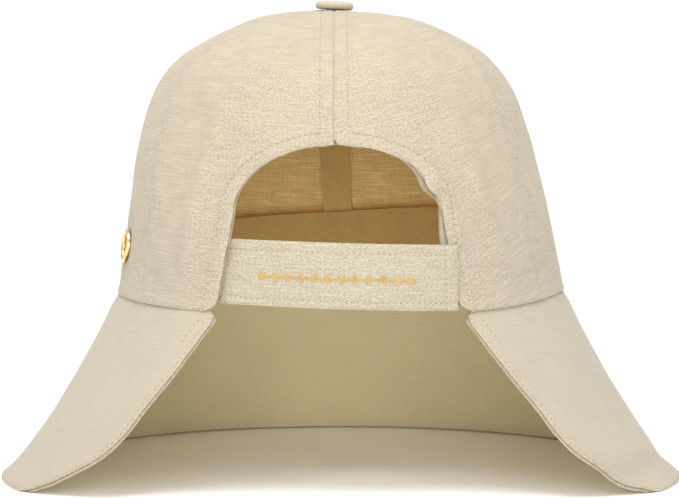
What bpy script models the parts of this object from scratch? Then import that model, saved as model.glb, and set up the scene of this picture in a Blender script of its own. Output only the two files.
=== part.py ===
"""A linen sun bonnet that stands on its brim.

Six gored panels make the crown, with a covered button on top and an arched opening at the back.
A hook-and-loop strap crosses the foot of the opening. The deep brim runs round the front and both
sides and ends in two long rounded tips. The bonnet faces -Y and +X is the wearer's left.
Azimuths are in degrees from the front, and grow towards the wearer's left.
"""

import math

import bmesh
import bpy
from mathutils import Vector

# Crown, in metres
BRIM_LINE_HEIGHT = 0.075
BRIM_LINE_DIP = 0.003
CROWN_HEIGHT = 0.1157
CROWN_HALF_WIDTH = 0.092
CROWN_FRONT_DEPTH = 0.098
CROWN_BACK_DEPTH = 0.096
CROWN_LEAN = 0.0028
LEAN_SHARE = 0.6
TOP_HOLE_RADIUS = 0.004
LINEN = 0.0012

# Brim
HEM_HALF_WIDTH = 0.141
HEM_FRONT_DEPTH = 0.165
HEM_BACK_DEPTH = 0.147
BRIM_WALL = 0.0024
BRIM_END_AZIMUTH = 149.3

# Arched opening in the back
ARCH_HEIGHT = 0.061
ARCH_SPRING_HEIGHT = 0.035
ARCH_HALF_WIDTH = 0.0405
ARCH_FOOT_HALF_WIDTH = 0.0472
ARCH_STRAIGHT_SHARE = 0.4
ARCH_SHIFT = 0.0013
ARCH_SAG = 0.0042
ARCH_SAG_SHARE = 0.71
ARCH_SAG_WIDTH = 0.04
BINDING_WIDTH = 0.012
BINDING_WALL = 0.001

# Inside trim
SWEATBAND_HEIGHT = 0.031
SWEATBAND_WALL = 0.0012
SWEATBAND_STAND_SHARE = 0.5
TAPE_WIDTH = 0.012
TAPE_WALL = 0.001
TAPE_TOP_SHARE = 0.985

# Strap and tab that close the back
STRAP_WIDTH = 0.025
STRAP_WALL = 0.002
STRAP_LIFT = 0.0018
STRAP_SLOPE = 0.025
STRAP_TUCK = 0.006
STRAP_OVERLAP = 0.0048
TAB_WIDTH = 0.021
TAB_WALL = 0.0014
TAB_REACH = 0.028
TAB_RISE_SHARE = 0.7

# Button
BUTTON_RADIUS = 0.0077
BUTTON_THICKNESS = 0.0036
BUTTON_EDGE = 0.001
BUTTON_TILT = 3.0
BUTTON_BACK_RADIUS = 0.0055
BUTTON_BACK_WALL = 0.001

# Eyelet
EYELET_AZIMUTH = 103.0
EYELET_HEIGHT = 0.020
EYELET_HOLE_RADIUS = 0.0041
EYELET_BARREL_WALL = 0.0006
EYELET_FLANGE_RADIUS = 0.007
EYELET_FLANGE_HEIGHT = 0.0016
EYELET_BACK_RADIUS = 0.0064
EYELET_BACK_WALL = 0.0006

# Clearances
SEAM_GAP = 0.0005
TOUCH_GAP = 0.0003
LAYER_GAP = 0.0006
BUTTON_GAP = 0.0007
FACET_GAP = 0.0003
CUT_MARGIN = 0.03

# Crown from its foot to its top: shares of its height, half width, front depth and back depth
CROWN_SECTIONS = (
    # height, side, front, back
    (0.000, 1.000, 1.000, 1.000),
    (0.178, 0.962, 0.985, 0.960),
    (0.356, 0.921, 0.958, 0.908),
    (0.534, 0.874, 0.912, 0.848),
    (0.712, 0.797, 0.828, 0.764),
    (0.819, 0.698, 0.726, 0.664),
    (0.890, 0.572, 0.596, 0.544),
    (0.961, 0.372, 0.390, 0.352),
    (0.989, 0.205, 0.214, 0.194),
    (1.000, 0.000, 0.000, 0.000),
)

# Brim from the crown to just under the hem, where the floor trims it:
# shares of its drop, its reach beyond the crown and its end azimuth
BRIM_SECTIONS = (
    # drop, reach, wrap
    (0.00, 0.000, 1.000),
    (0.13, 0.100, 0.978),
    (0.26, 0.207, 0.959),
    (0.39, 0.318, 0.940),
    (0.52, 0.432, 0.921),
    (0.65, 0.556, 0.907),
    (0.76, 0.672, 0.886),
    (0.85, 0.778, 0.854),
    (0.93, 0.884, 0.819),
    (1.02, 1.030, 0.765),
)

PANEL_SEAMS = (-180.0, -120.0, -60.0, 0.0, 60.0, 120.0, 180.0)
PANEL_NAMES = (
    "panel_back_right",
    "panel_side_right",
    "panel_front_right",
    "panel_front_left",
    "panel_side_left",
    "panel_back_left",
)
TAPE_NAMES = (
    "seam_tape_back_right",
    "seam_tape_front_right",
    "seam_tape_front",
    "seam_tape_front_left",
    "seam_tape_back_left",
    "seam_tape_back",
)

# Number of faces along each piece
PANEL_FACES = (8, 14)
BRIM_FACES = (60, 12)
SWEATBAND_FACES = (36, 3)
TAPE_FACES = (2, 8)
BINDING_FACES = (40, 2)
STRAP_FACES = (22, 3)
TAB_FACES = (10, 2)
ARCH_STEPS = 20
ROUND_STEPS = 24
DOME_STEPS = 5

# Worked out from the sizes above
CROWN_TOP = BRIM_LINE_HEIGHT + CROWN_HEIGHT
CROWN_FOOT_BACK = BRIM_LINE_HEIGHT - BRIM_LINE_DIP
ARCH_TOP = BRIM_LINE_HEIGHT + ARCH_HEIGHT
ARCH_SPRING = BRIM_LINE_HEIGHT + ARCH_SPRING_HEIGHT
INNER_FACE = LINEN + LAYER_GAP
UNDER_BINDING = INNER_FACE + BINDING_WALL + TOUCH_GAP
EYELET_SEAT = TOUCH_GAP
EYELET_BACK = LINEN + TOUCH_GAP + FACET_GAP
SWEATBAND_TOP = BRIM_LINE_HEIGHT + SWEATBAND_HEIGHT
SWEATBAND_STAND = EYELET_BACK + EYELET_BACK_WALL + TOUCH_GAP + FACET_GAP - INNER_FACE
STRAP_START = ARCH_SHIFT + ARCH_FOOT_HALF_WIDTH + STRAP_TUCK
STRAP_END = ARCH_SHIFT - ARCH_HALF_WIDTH - STRAP_OVERLAP
TAB_START = ARCH_SHIFT - ARCH_FOOT_HALF_WIDTH - STRAP_TUCK
TAB_EMERGES = ARCH_SHIFT - ARCH_HALF_WIDTH
STRAP_OUTSIDE = STRAP_WALL + TOUCH_GAP


def ease(share):
    """A smooth step from 0 to 1."""
    share = min(max(share, 0.0), 1.0)
    return share * share * (3 - 2 * share)


def read_table(rows, share):
    """The values at a share of a table's length, on a smooth curve through its rows."""
    last = len(rows) - 1
    place = min(max(share, 0.0), 1.0) * last
    index = min(int(place), last - 1)
    t = place - index
    near = [rows[min(max(index + step, 0), last)] for step in (-1, 0, 1, 2)]
    return [
        b + 0.5 * t * (c - a + t * (2 * a - 5 * b + 4 * c - d + t * (3 * (b - c) + d - a)))
        for a, b, c, d in zip(*near)
    ]


def brim_line(azimuth):
    """Height of the seam between crown and brim, which hangs a little lower at the back."""
    return BRIM_LINE_HEIGHT - BRIM_LINE_DIP * ease((abs(azimuth) - 90) / 60)


def rise_at(height_share):
    """The place along the crown's table where its height column has this value."""
    low, high = 0.0, 1.0
    for _ in range(30):
        middle = (low + high) / 2
        if read_table(CROWN_SECTIONS, middle)[0] < height_share:
            low = middle
        else:
            high = middle
    return low


def lean(height_share):
    """How far the soft crown leans to its left at a share of its height."""
    return CROWN_LEAN * ease(height_share / LEAN_SHARE)


def crown_point(azimuth, rise):
    """A point of the crown's outer surface; rise runs from 0 at the brim line to 1 at the top hole."""
    height, side, front, back = read_table(CROWN_SECTIONS, rise)
    angle = math.radians(azimuth)
    depth, full_depth = (front, CROWN_FRONT_DEPTH) if math.cos(angle) > 0 else (back, CROWN_BACK_DEPTH)
    half_width = TOP_HOLE_RADIUS + side * (CROWN_HALF_WIDTH - TOP_HOLE_RADIUS)
    half_depth = TOP_HOLE_RADIUS + depth * (full_depth - TOP_HOLE_RADIUS)
    foot = brim_line(azimuth)
    return Vector((
        lean(height) + half_width * math.sin(angle),
        -half_depth * math.cos(angle),
        foot + height * (CROWN_TOP - foot),
    ))


def crown_normal(azimuth, rise):
    """The outward direction of the crown's surface."""
    step = 0.01
    across = crown_point(azimuth + 0.5, rise) - crown_point(azimuth - 0.5, rise)
    along = crown_point(azimuth, min(rise + step, 1)) - crown_point(azimuth, max(rise - step, 0))
    return across.cross(along).normalized()


def crown_layer(azimuth, rise, outward):
    """A point at a distance outside the crown's surface, or inside it where outward is negative."""
    return crown_point(azimuth, rise) + crown_normal(azimuth, rise) * outward


def back_layer(x, z, outward):
    """The point of a layer over the crown's back that lies at this x and height."""
    azimuth, rise = 180.0, 0.0
    for _ in range(6):
        foot = brim_line(azimuth)
        height = (z - foot) / (CROWN_TOP - foot)
        rise = rise_at(height)
        half_width = crown_point(90, rise).x - lean(height)
        azimuth = 180 - math.degrees(math.asin((x - lean(height)) / half_width))
    point = crown_layer(azimuth, rise, outward)
    return Vector((point.x, point.y, z))


def brim_point(along, down):
    """A point of the brim's outer surface: along from -1 to 1 between its ends, down from 0 to 1."""
    drop, reach, wrap = read_table(BRIM_SECTIONS, down)
    azimuth = along * wrap * BRIM_END_AZIMUTH
    angle = math.radians(azimuth)
    at_crown = crown_point(azimuth, 0)
    hem_depth = HEM_FRONT_DEPTH if math.cos(angle) > 0 else HEM_BACK_DEPTH
    at_hem = Vector((HEM_HALF_WIDTH * math.sin(angle), -hem_depth * math.cos(angle), 0))
    point = at_crown.lerp(at_hem, reach)
    top = brim_line(azimuth) - TOUCH_GAP
    return Vector((point.x, point.y, top * (1 - drop)))


def arch_outline(share):
    """A point (x, z) of the plain arch, from its foot at +X over the top to its foot at -X."""
    side = 1 if share < 0.5 else -1
    from_foot = 2 * min(share, 1 - share)
    if from_foot < ARCH_STRAIGHT_SHARE:
        up = from_foot / ARCH_STRAIGHT_SHARE
        half_width = ARCH_FOOT_HALF_WIDTH + up * (ARCH_HALF_WIDTH - ARCH_FOOT_HALF_WIDTH)
        return Vector((
            ARCH_SHIFT + side * half_width,
            CROWN_FOOT_BACK + up * (ARCH_SPRING - CROWN_FOOT_BACK),
        ))
    angle = math.pi / 2 * (from_foot - ARCH_STRAIGHT_SHARE) / (1 - ARCH_STRAIGHT_SHARE)
    return Vector((
        ARCH_SHIFT + side * ARCH_HALF_WIDTH * math.cos(angle),
        ARCH_SPRING + (ARCH_TOP - ARCH_SPRING) * math.sin(angle),
    ))


def arch_sag(share):
    """How far the soft edge of the arch sags into the opening, which it does at its right corner."""
    return ARCH_SAG * math.exp(-((share - ARCH_SAG_SHARE) / ARCH_SAG_WIDTH) ** 2)


def arch_point(share, away):
    """A point at a distance outside the plain arch, or inside it where the distance is negative."""
    ahead = arch_outline(min(share + 0.01, 1)) - arch_outline(max(share - 0.01, 0))
    return arch_outline(share) + Vector((ahead.y, -ahead.x)).normalized() * away


def material(name, colour, roughness, metallic=0.0):
    """A Principled material; its colour is a fraction of full light in red, green and blue."""
    made = bpy.data.materials.new(name)
    made.use_nodes = True
    shader = made.node_tree.nodes["Principled BSDF"]
    shader.inputs["Base Color"].default_value = (*colour, 1)
    shader.inputs["Roughness"].default_value = roughness
    shader.inputs["Metallic"].default_value = metallic
    return made


def collection(name):
    made = bpy.data.collections.new(name)
    bpy.context.scene.collection.children.link(made)
    return made


def add_object(name, mesh, group, finish=None):
    """Puts a mesh in the scene as a named object of a collection."""
    made = bpy.data.objects.new(name, mesh)
    group.objects.link(made)
    if finish:
        mesh.materials.append(finish)
    return made


def shade(mesh, angle=40):
    mesh.shade_smooth()
    mesh.set_sharp_from_angle(angle=math.radians(angle))


def add_sheet(name, faces, place, wall, group, finish):
    """A grid laid on a surface by place(u, v), each 0 to 1, and thickened inwards to a wall of cloth."""
    grid = bmesh.new()
    bmesh.ops.create_grid(grid, x_segments=faces[0], y_segments=faces[1], size=0.5)
    for vertex in grid.verts:
        vertex.co = place(vertex.co.x + 0.5, vertex.co.y + 0.5)
    mesh = bpy.data.meshes.new(name)
    grid.to_mesh(mesh)
    grid.free()
    shade(mesh)
    made = add_object(name, mesh, group, finish)
    cloth = made.modifiers.new("wall", "SOLIDIFY")
    cloth.thickness = wall
    cloth.offset = -1
    cloth.use_even_offset = True
    return made


def add_turned(name, profile, closed, group, finish):
    """A profile of (radius, height) points turned round its own Z axis."""
    mesh = bpy.data.meshes.new(name)
    edges = [(i, i + 1) for i in range(len(profile) - 1)]
    if closed:
        edges.append((len(profile) - 1, 0))
    mesh.from_pydata([(radius, 0, height) for radius, height in profile], edges, [])
    made = add_object(name, mesh, group, finish)
    turn = made.modifiers.new("turn", "SCREW")
    turn.axis = "Z"
    turn.steps = ROUND_STEPS
    turn.render_steps = ROUND_STEPS
    turn.use_merge_vertices = True
    turn.merge_threshold = 0.00001
    turn.use_smooth_shade = True
    return made


def cut(piece, cutter):
    """Takes a cutter out of a piece."""
    hole = piece.modifiers.new("cut", "BOOLEAN")
    hole.operation = "DIFFERENCE"
    hole.solver = "EXACT"
    hole.object = cutter


def add_cutter(name, mesh, group):
    made = add_object(name, mesh, group)
    made.hide_render = True
    made.display_type = "WIRE"
    return made


def arch_cutter(group):
    """A block with the opening's outline, through the back of the crown and out below its foot."""
    curve = bpy.data.curves.new("arch_outline", "CURVE")
    curve.dimensions = "2D"
    curve.fill_mode = "BOTH"
    curve.extrude = CROWN_BACK_DEPTH / 2
    shares = [step / (2 * ARCH_STEPS) for step in range(2 * ARCH_STEPS + 1)]
    outline = [arch_point(share, -arch_sag(share)) for share in shares]
    below = CROWN_FOOT_BACK - CUT_MARGIN
    outline = [(outline[0].x, below), *outline, (outline[-1].x, below)]
    spline = curve.splines.new("POLY")
    spline.points.add(len(outline) - 1)
    for point, (x, z) in zip(spline.points, outline):
        point.co = (x, z, 0, 1)
    spline.use_cyclic_u = True
    flat = bpy.data.objects.new("arch_outline", curve)
    group.objects.link(flat)
    flat.rotation_euler = (math.pi / 2, 0, 0)
    flat.location = (0, CROWN_BACK_DEPTH, 0)
    bpy.context.view_layer.update()
    mesh = bpy.data.meshes.new_from_object(flat.evaluated_get(bpy.context.evaluated_depsgraph_get()))
    welded = bmesh.new()
    welded.from_mesh(mesh)
    bmesh.ops.remove_doubles(welded, verts=welded.verts, dist=0.00001)
    bmesh.ops.recalc_face_normals(welded, faces=welded.faces)
    welded.to_mesh(mesh)
    welded.free()
    made = add_cutter("arch_cutter", mesh, group)
    made.matrix_world = flat.matrix_world
    bpy.data.objects.remove(flat)
    return made


def eyelet_place():
    """Where the eyelet sits on the crown, and the way it faces."""
    foot = brim_line(EYELET_AZIMUTH)
    rise = rise_at(EYELET_HEIGHT / (CROWN_TOP - foot))
    return crown_point(EYELET_AZIMUTH, rise), crown_normal(EYELET_AZIMUTH, rise).to_track_quat("Z", "Y")


def eyelet_cutter(group):
    """A drill for the eyelet's barrel."""
    drill = bmesh.new()
    radius = EYELET_HOLE_RADIUS + EYELET_BARREL_WALL + TOUCH_GAP
    bmesh.ops.create_cone(
        drill, cap_ends=True, segments=ROUND_STEPS, radius1=radius, radius2=radius, depth=CUT_MARGIN / 2
    )
    mesh = bpy.data.meshes.new("eyelet_cutter")
    drill.to_mesh(mesh)
    drill.free()
    made = add_cutter("eyelet_cutter", mesh, group)
    made.rotation_mode = "QUATERNION"
    made.location, made.rotation_quaternion = eyelet_place()
    return made


def floor_cutter(group):
    """A block under the floor that trims the hem flat."""
    block = bmesh.new()
    bmesh.ops.create_cube(block, size=1)
    width, length = 3 * HEM_HALF_WIDTH, 3 * HEM_FRONT_DEPTH
    bmesh.ops.scale(block, vec=(width, length, CUT_MARGIN), verts=block.verts)
    mesh = bpy.data.meshes.new("floor_cutter")
    block.to_mesh(mesh)
    block.free()
    made = add_cutter("floor_cutter", mesh, group)
    made.location.z = -CUT_MARGIN / 2
    return made


def add_panel(name, start, end, group, finish):
    """One gore of the crown, between two seams."""
    def place(u, v):
        azimuth = start + u * (end - start)
        sideways = crown_point(azimuth + 0.5, v) - crown_point(azimuth - 0.5, v)
        return crown_point(azimuth, v) + sideways.normalized() * SEAM_GAP / 2 * (1 - 2 * u)

    return add_sheet(name, PANEL_FACES, place, LINEN, group, finish)


def add_brim(group, finish):
    return add_sheet(
        "brim", BRIM_FACES, lambda u, v: brim_point(2 * u - 1, 1 - v), BRIM_WALL, group, finish
    )


def add_sweatband(group, finish):
    """The band inside the crown's foot; it is sewn at its foot and stands off the panels above."""
    binding_edge = ARCH_SHIFT + ARCH_FOOT_HALF_WIDTH + BINDING_WIDTH + SEAM_GAP
    end = 180 - math.degrees(math.asin(binding_edge / CROWN_HALF_WIDTH))

    def place(u, v):
        azimuth = end * (2 * u - 1)
        foot = brim_line(azimuth)
        rise = rise_at(v * (SWEATBAND_TOP - foot) / (CROWN_TOP - foot))
        return crown_layer(azimuth, rise, -(INNER_FACE + SWEATBAND_STAND * ease(v / SWEATBAND_STAND_SHARE)))

    return add_sheet("sweatband", SWEATBAND_FACES, place, SWEATBAND_WALL, group, finish)


def add_tape(name, seam, start_height, group, finish):
    """A tape behind one seam, from a height up to just short of the button."""
    start = rise_at((start_height - BRIM_LINE_HEIGHT) / CROWN_HEIGHT)
    end = rise_at(TAPE_TOP_SHARE)

    def place(u, v):
        rise = start + v * (end - start)
        per_degree = (crown_point(seam + 0.5, rise) - crown_point(seam - 0.5, rise)).length
        azimuth = seam + (u - 0.5) * TAPE_WIDTH / per_degree
        return crown_layer(azimuth, rise, -INNER_FACE)

    return add_sheet(name, TAPE_FACES, place, TAPE_WALL, group, finish)


def add_binding(group, finish):
    """The strip inside the edge of the opening."""
    def place(u, v):
        x, z = arch_point(u, TOUCH_GAP + v * BINDING_WIDTH - (1 - v) * arch_sag(u))
        return back_layer(x, z, -INNER_FACE)

    return add_sheet("arch_binding", BINDING_FACES, place, BINDING_WALL, group, finish)


def strap_middle(x):
    """Height of the strap's middle line, which slopes a little."""
    return CROWN_FOOT_BACK + STRAP_LIFT + STRAP_WIDTH / 2 + STRAP_SLOPE * x


def strap_outward(x):
    """How far the strap's outer face stands outside the crown: it comes from inside the edge at +X."""
    across = (ARCH_HALF_WIDTH - x) / (2 * ARCH_HALF_WIDTH - STRAP_TUCK)
    return -UNDER_BINDING + ease(across) * (UNDER_BINDING + STRAP_OUTSIDE)


def strap_point(along, up):
    """A point of the strap's outer face, each share 0 to 1."""
    x = STRAP_START + along * (STRAP_END - STRAP_START)
    return back_layer(x, strap_middle(x) + (up - 0.5) * STRAP_WIDTH, strap_outward(x))


def tab_outward(x):
    """How far the tab's outer face stands: inside the edge at -X, then up against the strap."""
    against = strap_outward(x) - STRAP_WALL - TOUCH_GAP
    return -UNDER_BINDING + ease((x - TAB_EMERGES) / (TAB_REACH * TAB_RISE_SHARE)) * (UNDER_BINDING + against)


def add_closure(group, strap_finish, tab_finish):
    """The strap, and the hidden tab that it fastens to."""
    def tab(u, v):
        x = TAB_EMERGES + TAB_REACH + u * (TAB_START - TAB_EMERGES - TAB_REACH)
        return back_layer(x, strap_middle(x) + (v - 0.5) * TAB_WIDTH, tab_outward(x))

    add_sheet("closure_strap", STRAP_FACES, strap_point, STRAP_WALL, group, strap_finish)
    add_sheet("closure_tab", TAB_FACES, tab, TAB_WALL, group, tab_finish)


def add_button(group, finish):
    """The covered button, its shank through the top hole and its back inside."""
    under = BUTTON_GAP
    inside = -(LINEN + BUTTON_GAP)
    shank = TOP_HOLE_RADIUS - SEAM_GAP
    dome = []
    for step in range(DOME_STEPS + 1):
        angle = math.pi / 2 * step / DOME_STEPS
        height = under + BUTTON_EDGE + (BUTTON_THICKNESS - BUTTON_EDGE) * math.cos(angle)
        dome.append((BUTTON_RADIUS * math.sin(angle), height))
    profile = [
        *dome,
        (BUTTON_RADIUS - BUTTON_EDGE, under),
        (shank, under),
        (shank, inside),
        (BUTTON_BACK_RADIUS, inside),
        (BUTTON_BACK_RADIUS, inside - BUTTON_BACK_WALL),
        (0, inside - BUTTON_BACK_WALL),
    ]
    made = add_turned("button", profile, False, group, finish)
    made.location = (CROWN_LEAN, 0, CROWN_TOP)
    made.rotation_euler.y = math.radians(-BUTTON_TILT)
    return made


def add_eyelet(group, finish):
    """A rolled brass ring: a flange outside, a barrel through the cloth and a washer inside."""
    hole = EYELET_HOLE_RADIUS
    barrel = hole + EYELET_BARREL_WALL
    middle = (hole + EYELET_FLANGE_RADIUS) / 2
    top = EYELET_SEAT + EYELET_FLANGE_HEIGHT
    bottom = -(EYELET_BACK + EYELET_BACK_WALL)
    roll = EYELET_FLANGE_HEIGHT / 2
    profile = [
        (hole, top - roll),
        ((hole + middle) / 2, top - roll / 4),
        (middle, top),
        ((middle + EYELET_FLANGE_RADIUS) / 2, top - roll / 4),
        (EYELET_FLANGE_RADIUS, top - roll),
        (EYELET_FLANGE_RADIUS, EYELET_SEAT),
        (barrel, EYELET_SEAT),
        (barrel, -EYELET_BACK),
        (EYELET_BACK_RADIUS, -EYELET_BACK),
        (EYELET_BACK_RADIUS, bottom),
        (hole, bottom),
    ]
    made = add_turned("eyelet", profile, True, group, finish)
    made.rotation_mode = "QUATERNION"
    made.location, made.rotation_quaternion = eyelet_place()
    return made


def back_reach():
    """How far back the bonnet reaches, at its brim or at its strap."""
    brim_levels = [step / BRIM_FACES[1] for step in range(BRIM_FACES[1] + 1)]
    strap_steps = [step / STRAP_FACES[0] for step in range(STRAP_FACES[0] + 1)]
    brim = max(brim_point(1, level).y for level in brim_levels)
    strap = max(strap_point(step, 0).y for step in strap_steps)
    return max(brim, strap)


def main():
    for old in list(bpy.data.objects):
        bpy.data.objects.remove(old)
    group = collection("sun_bonnet")
    cutters = collection("cutters")
    linen = material("cream_linen", (0.76, 0.66, 0.49), 0.85)
    brim_linen = material("brim_linen", (0.72, 0.62, 0.48), 0.85)
    twill = material("sweatband_twill", (0.42, 0.31, 0.17), 0.9)
    tape = material("seam_tape_cotton", (0.45, 0.35, 0.2), 0.9)
    hooks = material("hook_tape", (0.6, 0.52, 0.38), 0.8)
    brass = material("brass", (0.76, 0.56, 0.24), 0.25, 1.0)

    panels = [
        add_panel(name, start, end, group, linen)
        for name, start, end in zip(PANEL_NAMES, PANEL_SEAMS, PANEL_SEAMS[1:])
    ]
    opening = arch_cutter(cutters)
    cut(panels[0], opening)
    cut(panels[-1], opening)
    drill = eyelet_cutter(cutters)
    for panel, start, end in zip(panels, PANEL_SEAMS, PANEL_SEAMS[1:]):
        if start < EYELET_AZIMUTH <= end:
            cut(panel, drill)
    brim = add_brim(group, brim_linen)
    cut(brim, floor_cutter(cutters))
    add_sweatband(group, twill)
    for name, seam in zip(TAPE_NAMES, PANEL_SEAMS[1:]):
        above = ARCH_TOP + BINDING_WIDTH if seam == 180 else SWEATBAND_TOP
        add_tape(name, seam, above + INNER_FACE + SEAM_GAP, group, tape)
    add_binding(group, linen)
    add_closure(group, linen, hooks)
    add_button(group, linen)
    add_eyelet(group, brass)

    stand = bpy.data.objects.new("bonnet_origin", None)
    group.objects.link(stand)
    stand.location.y = (HEM_FRONT_DEPTH - back_reach()) / 2
    for piece in [*group.objects, *cutters.objects]:
        if piece is not stand:
            piece.parent = stand


main()
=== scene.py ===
# %% [markdown]
# # A linen sun bonnet, seen from behind
#
# The bonnet is a soft six-panel cap with a deep brim that slopes down round the front and the sides.
# Its back is open: an arch is cut in the crown, and a strap closes the foot of the arch.
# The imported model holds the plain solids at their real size. This lesson lays real cloth over them,
# piece by piece, with seams, stitches, folds and a linen finish.
# Lengths are in metres. The bonnet faces -Y, so the camera stands on the +Y side.

import math

import bpy
import numpy as np
from mathutils import Matrix, Vector, noise


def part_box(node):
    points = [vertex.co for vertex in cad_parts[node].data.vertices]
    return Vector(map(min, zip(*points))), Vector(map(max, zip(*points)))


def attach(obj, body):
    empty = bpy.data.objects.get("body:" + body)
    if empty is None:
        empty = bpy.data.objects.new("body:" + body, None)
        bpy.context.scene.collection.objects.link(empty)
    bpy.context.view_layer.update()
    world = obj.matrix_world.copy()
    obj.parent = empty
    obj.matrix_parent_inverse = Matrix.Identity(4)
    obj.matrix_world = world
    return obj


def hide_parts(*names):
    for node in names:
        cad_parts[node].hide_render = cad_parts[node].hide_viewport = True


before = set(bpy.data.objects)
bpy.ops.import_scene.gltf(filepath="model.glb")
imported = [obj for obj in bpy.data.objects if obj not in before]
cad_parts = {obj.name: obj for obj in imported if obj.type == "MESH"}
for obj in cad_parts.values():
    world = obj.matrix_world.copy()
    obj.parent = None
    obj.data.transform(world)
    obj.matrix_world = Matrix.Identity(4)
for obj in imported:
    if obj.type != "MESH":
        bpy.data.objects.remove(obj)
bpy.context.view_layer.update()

# %% [markdown]
# ## The sizes that everything follows
#
# A dressed piece has to lie on its own solid, so the main sizes are read from the solids' boxes.
# What a box cannot tell, such as the depth behind the arch, is named here at its real size.

# %% Sizes read from the solids, and the few that are named
MM = 0.001
CENTRE_Y = (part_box("button")[0].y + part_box("button")[1].y) / 2
CROWN_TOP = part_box("panel_front_left")[1].z
BRIM_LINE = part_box("brim")[1].z + 0.3 * MM
BRIM_DIP = 3 * MM
BRIM_RISE_RIGHT = 1.6 * MM
CROWN_HALF_WIDTH = (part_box("panel_side_left")[1].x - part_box("panel_side_right")[0].x) / 2
CROWN_FRONT_DEPTH = CENTRE_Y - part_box("panel_front_left")[0].y
CROWN_BACK_DEPTH = 96 * MM
CROWN_LEAN = 2.8 * MM
LEAN_SHARE = 0.6
TOP_HOLE = 4 * MM
HEM_HALF_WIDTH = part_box("brim")[1].x
HEM_FRONT_DEPTH = CENTRE_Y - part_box("brim")[0].y
HEM_BACK_DEPTH = 147 * MM
BRIM_END = 149.3
LINEN = 1.2 * MM
ARCH_SHIFT = 1.3 * MM
ARCH_HALF_WIDTH = 40.5 * MM
ARCH_FOOT_HALF_WIDTH = 47.2 * MM
ARCH_TOP = BRIM_LINE + 61 * MM
ARCH_SPRING = BRIM_LINE + 35 * MM
FOOT_BACK = BRIM_LINE - BRIM_DIP
BINDING_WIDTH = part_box("arch_binding")[1].z - ARCH_TOP
INNER_FACE = 1.8 * MM
SWEATBAND_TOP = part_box("sweatband")[1].z
BAND_SLOPE = 0.055
print("crown top", round(CROWN_TOP, 4), "brim line", round(BRIM_LINE, 4), "centre", round(CENTRE_Y, 4))

# %% [markdown]
# ## The crown's and the brim's surfaces
#
# On the real cap, flat gores are sewn together and swell into a dome. Two short tables say how the dome
# and the brim change from foot to top, as shares of the sizes above, and a smooth curve is drawn through
# each table's rows. A point of the crown is then found from its azimuth round the head, in degrees from
# the front, and its rise, from 0 at the brim to 1 at the button. The functions take whole arrays of
# points at once, because the cloth has tens of thousands of them.

# %% Surfaces of the crown and of the brim
CROWN_SECTIONS = np.array((
    # height, side, front, back
    (0.000, 1.000, 1.000, 1.000),
    (0.178, 0.962, 0.985, 0.960),
    (0.356, 0.921, 0.958, 0.908),
    (0.534, 0.874, 0.912, 0.848),
    (0.712, 0.797, 0.828, 0.764),
    (0.819, 0.698, 0.726, 0.664),
    (0.890, 0.572, 0.596, 0.544),
    (0.961, 0.372, 0.390, 0.352),
    (0.989, 0.205, 0.214, 0.194),
    (1.000, 0.000, 0.000, 0.000),
))
BRIM_SECTIONS = np.array((
    # drop, reach, wrap
    (0.00, 0.000, 1.000),
    (0.13, 0.100, 0.978),
    (0.26, 0.207, 0.959),
    (0.39, 0.318, 0.940),
    (0.52, 0.432, 0.921),
    (0.65, 0.556, 0.907),
    (0.76, 0.672, 0.886),
    (0.85, 0.778, 0.854),
    (0.93, 0.884, 0.819),
    (1.02, 1.030, 0.765),
))


def ease(share):
    """A smooth step from 0 to 1."""
    share = np.clip(share, 0.0, 1.0)
    return share * share * (3 - 2 * share)


def hump(distance, width):
    """1 on a line, fading smoothly to 0 on both sides of it."""
    return np.exp(-((distance / width) ** 2))


def read_table(rows, share):
    """The values at shares of a table's length, on a smooth curve through its rows."""
    last = len(rows) - 1
    place = np.clip(share, 0.0, 1.0) * last
    index = np.minimum(place.astype(int), last - 1)
    t = (place - index)[..., None]
    a, b = rows[np.maximum(index - 1, 0)], rows[index]
    c, d = rows[index + 1], rows[np.minimum(index + 2, last)]
    return b + 0.5 * t * (c - a + t * (2 * a - 5 * b + 4 * c - d + t * (3 * (b - c) + d - a)))


def brim_line(azimuth):
    """Height of the seam between crown and brim, lower at the back and a little higher on the right."""
    dip = BRIM_DIP * ease((np.abs(azimuth) - 90) / 60)
    return BRIM_LINE - dip + BRIM_RISE_RIGHT * hump(azimuth + 105, 25.0)


def lean(height):
    """How far the soft crown leans to its left at a share of its height."""
    return CROWN_LEAN * ease(height / LEAN_SHARE)


def crown_point(azimuth, rise):
    azimuth, rise = np.broadcast_arrays(np.asarray(azimuth, float), np.asarray(rise, float))
    height, side, front, back = np.moveaxis(read_table(CROWN_SECTIONS, rise), -1, 0)
    angle = np.radians(azimuth)
    ahead = np.cos(angle) > 0
    depth = np.where(ahead, front, back)
    full_depth = np.where(ahead, CROWN_FRONT_DEPTH, CROWN_BACK_DEPTH)
    half_width = TOP_HOLE + side * (CROWN_HALF_WIDTH - TOP_HOLE)
    half_depth = TOP_HOLE + depth * (full_depth - TOP_HOLE)
    foot = brim_line(azimuth)
    return np.stack((
        lean(height) + half_width * np.sin(angle),
        CENTRE_Y - half_depth * np.cos(angle),
        foot + height * (CROWN_TOP - foot),
    ), -1)


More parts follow.
